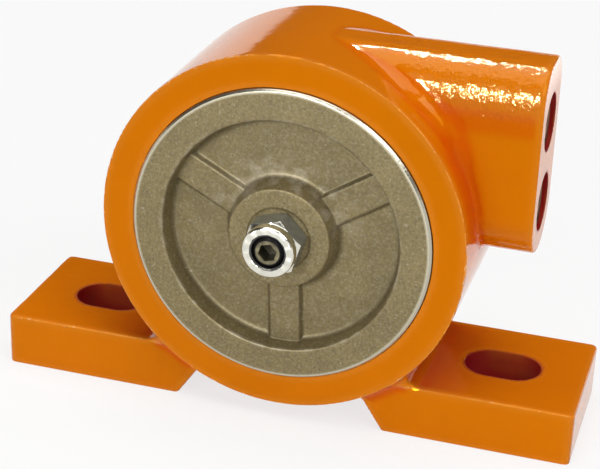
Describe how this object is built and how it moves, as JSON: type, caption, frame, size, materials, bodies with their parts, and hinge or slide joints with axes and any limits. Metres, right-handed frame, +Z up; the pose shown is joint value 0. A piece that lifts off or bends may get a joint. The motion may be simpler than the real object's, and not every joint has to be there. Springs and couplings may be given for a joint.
{
  "type": "pneumatic vibration motor",
  "caption": "Pneumatic turbine vibrator: painted cast barrel on slotted feet, side boss with tapped air ports, ribbed covers and an unbalanced rotor on ball bearings.",
  "frame": {"origin": "on the mounting plane, midway between the two foot slots", "axes": "+X along the feet towards the air ports, +Y to the back, away from the front cover, +Z up from the mounting plane"},
  "size_m": [0.1444, 0.0601, 0.0931],
  "materials": {
    "enamel": "glossy orange enamel on a rough casting",
    "cover_casting": "bead-blasted warm grey die casting",
    "nut_zinc": "bright zinc plate",
    "stud_steel": "plain oiled steel",
    "nylon": "black nylon",
    "seal_rubber": "black rubber",
    "ground_steel": "ground steel",
    "rotor_alloy": "milled aluminium",
    "weight_steel": "turned steel",
    "bearing_steel": "ground bearing steel",
    "ball_steel": "polished steel",
    "cage_brass": "machined brass",
    "shield_steel": "pressed sheet steel",
    "spring_steel": "blackened spring steel"
  },
  "bodies": {
    "housing": {"housing": "enamel", "centre_stud": "stud_steel", "shaft_sleeve": "ground_steel", "inner_ring_spacer": "ground_steel", "front_cover": "cover_casting", "front_cover_seal": "seal_rubber", "front_lock_nut": "nut_zinc", "front_nut_insert": "nylon", "front_inner_ring": "bearing_steel", "rear_cover": "cover_casting", "rear_cover_seal": "seal_rubber", "rear_lock_nut": "nut_zinc", "rear_nut_insert": "nylon", "rear_inner_ring": "bearing_steel"},
    "rotor": {"turbine_rotor": "rotor_alloy", "rotor_weights": "weight_steel", "front_outer_ring": "bearing_steel", "front_bearing_shields": "shield_steel", "front_snap_ring": "spring_steel", "rear_outer_ring": "bearing_steel", "rear_bearing_shields": "shield_steel", "rear_snap_ring": "spring_steel"},
    "front_cage": {"front_bearing_cage": "cage_brass", "front_bearing_balls": "ball_steel"},
    "rear_cage": {"rear_bearing_cage": "cage_brass", "rear_bearing_balls": "ball_steel"}
  },
  "joints": [
    {"name": "rotor_spin", "type": "hinge", "parent": "housing", "child": "rotor", "pos_m": [0, -0.00153, 0.0486], "axis": [0, -1, 0], "continuous": true},
    {"name": "front_cage_orbit", "type": "hinge", "parent": "housing", "child": "front_cage", "pos_m": [0, -0.00153, 0.0486], "axis": [0, -1, 0], "continuous": true},
    {"name": "rear_cage_orbit", "type": "hinge", "parent": "housing", "child": "rear_cage", "pos_m": [0, -0.00153, 0.0486], "axis": [0, -1, 0], "continuous": true}
  ],
  "couplings": [
    {"joint": "front_cage_orbit", "follows": "rotor_spin", "ratio": 0.619},
    {"joint": "rear_cage_orbit", "follows": "rotor_spin", "ratio": 0.619}
  ]
}
